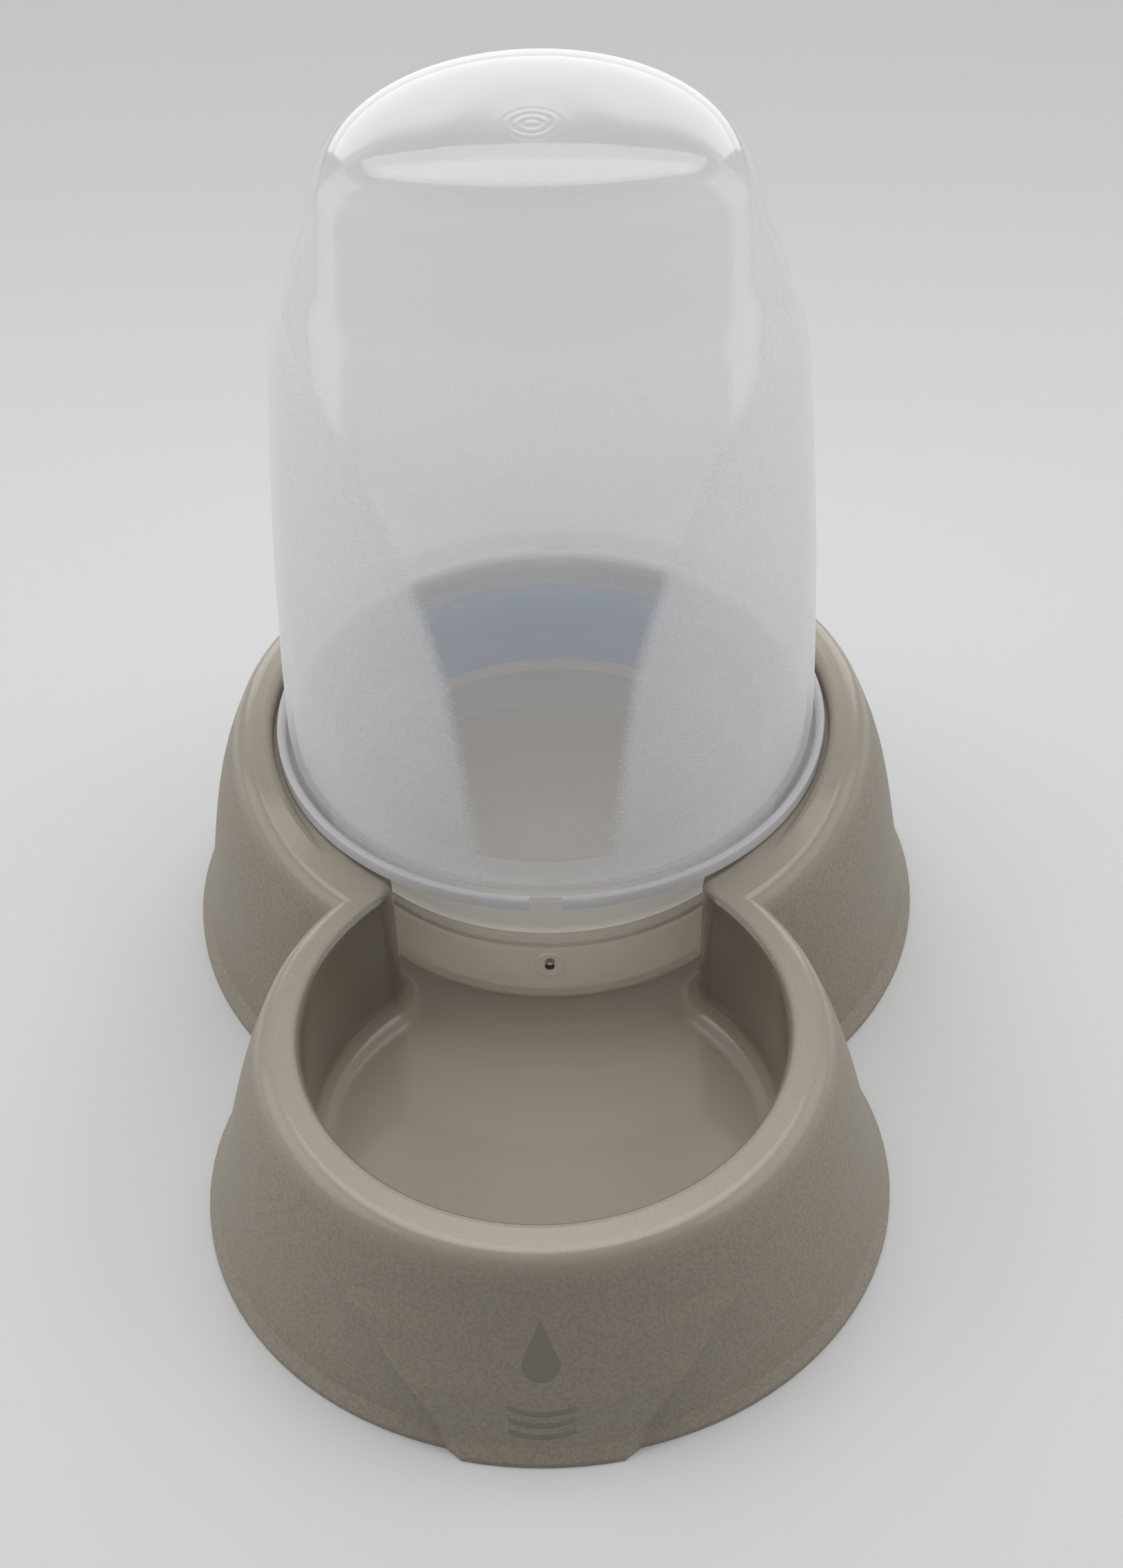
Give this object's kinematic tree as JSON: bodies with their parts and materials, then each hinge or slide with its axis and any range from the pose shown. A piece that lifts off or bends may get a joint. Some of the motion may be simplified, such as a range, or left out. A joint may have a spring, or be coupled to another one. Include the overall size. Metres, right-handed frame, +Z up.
{
  "type": "gravity pet waterer",
  "caption": "Gravity-fed pet drinking fountain: an inverted translucent reservoir with an outlet lid stands in a figure-of-eight base with an open drinking bowl.",
  "frame": {"origin": "centre of the footprint on the floor under the foot ring", "axes": "+Z up; +Y from the drinking bowl at the front to the reservoir at the back; +X across"},
  "size_m": [0.2044, 0.307, 0.2515],
  "materials": {
    "base_plastic": "fine matte texture outside, glossy inside the bowl",
    "reservoir_plastic": "frosted translucent with a clear front window",
    "lid_plastic": "clear polished",
    "seal_rubber": "satin silicone"
  },
  "bodies": {
    "base": {"base": "base_plastic"},
    "lid": {"outlet_lid": "lid_plastic", "neck_seal": "seal_rubber"},
    "reservoir": {"reservoir": "reservoir_plastic"}
  },
  "joints": [
    {"name": "reservoir_lift", "type": "slide", "parent": "base", "child": "lid", "axis": [0, 0, 1], "range_m": [0, 0.06]},
    {"name": "lid_push_fit", "type": "slide", "parent": "lid", "child": "reservoir", "axis": [0, 0, 1], "range_m": [0, 0.035]}
  ]
}
